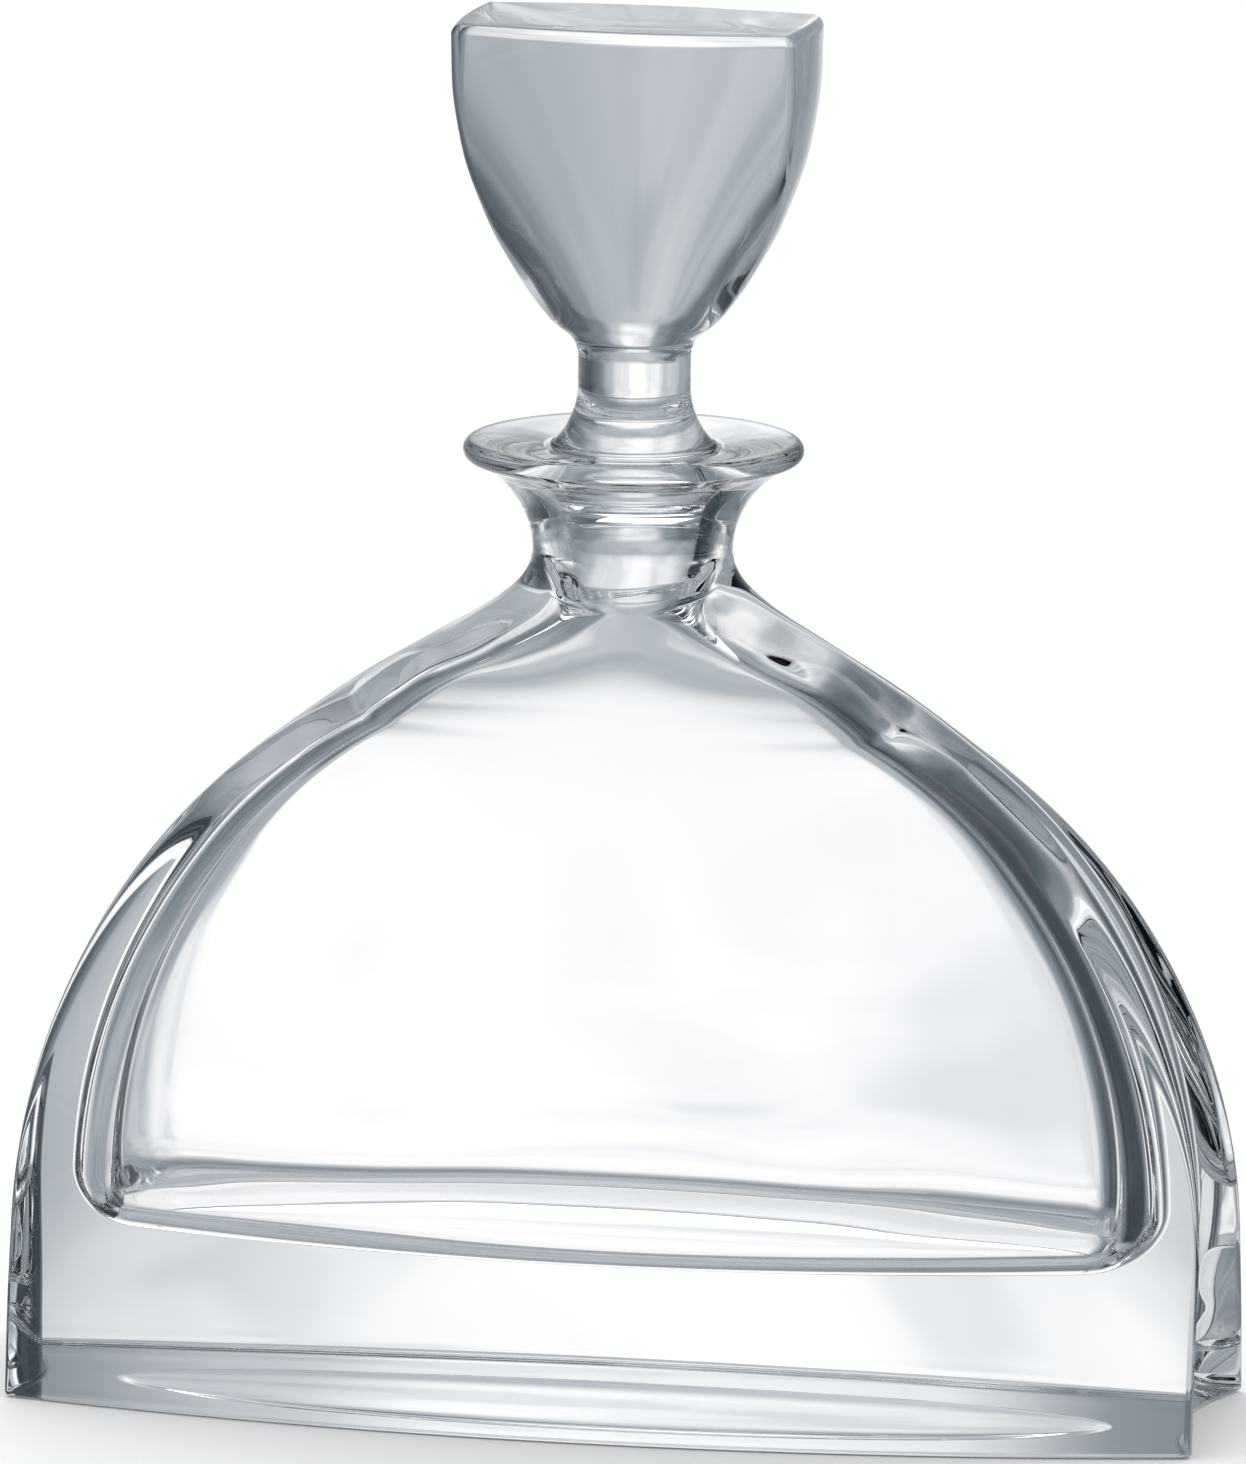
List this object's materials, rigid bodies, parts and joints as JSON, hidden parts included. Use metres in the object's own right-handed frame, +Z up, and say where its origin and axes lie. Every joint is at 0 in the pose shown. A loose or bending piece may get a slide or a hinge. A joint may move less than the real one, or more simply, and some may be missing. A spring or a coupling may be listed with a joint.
{
  "type": "wine decanter",
  "caption": "Clear glass wine decanter: arched flat body with a thick foot, short flared neck, and a lift-out stopper with a broad flat head.",
  "frame": {"origin": "on the resting plane, under the axis of the neck", "axes": "+Z up along the neck, X along the bottle's long side, the broad faces towards -Y and +Y"},
  "size_m": [0.216, 0.0846, 0.25],
  "materials": {
    "bottle_glass": "fire-polished clear crystal",
    "stopper_glass": "fire-polished clear crystal, ground plug"
  },
  "bodies": {
    "bottle_body": {"bottle": "bottle_glass"},
    "stopper_body": {"stopper": "stopper_glass"}
  },
  "joints": [
    {"name": "stopper_lift", "type": "slide", "parent": "bottle_body", "child": "stopper_body", "axis": [0, 0, 1], "range_m": [0, 0.08]}
  ]
}
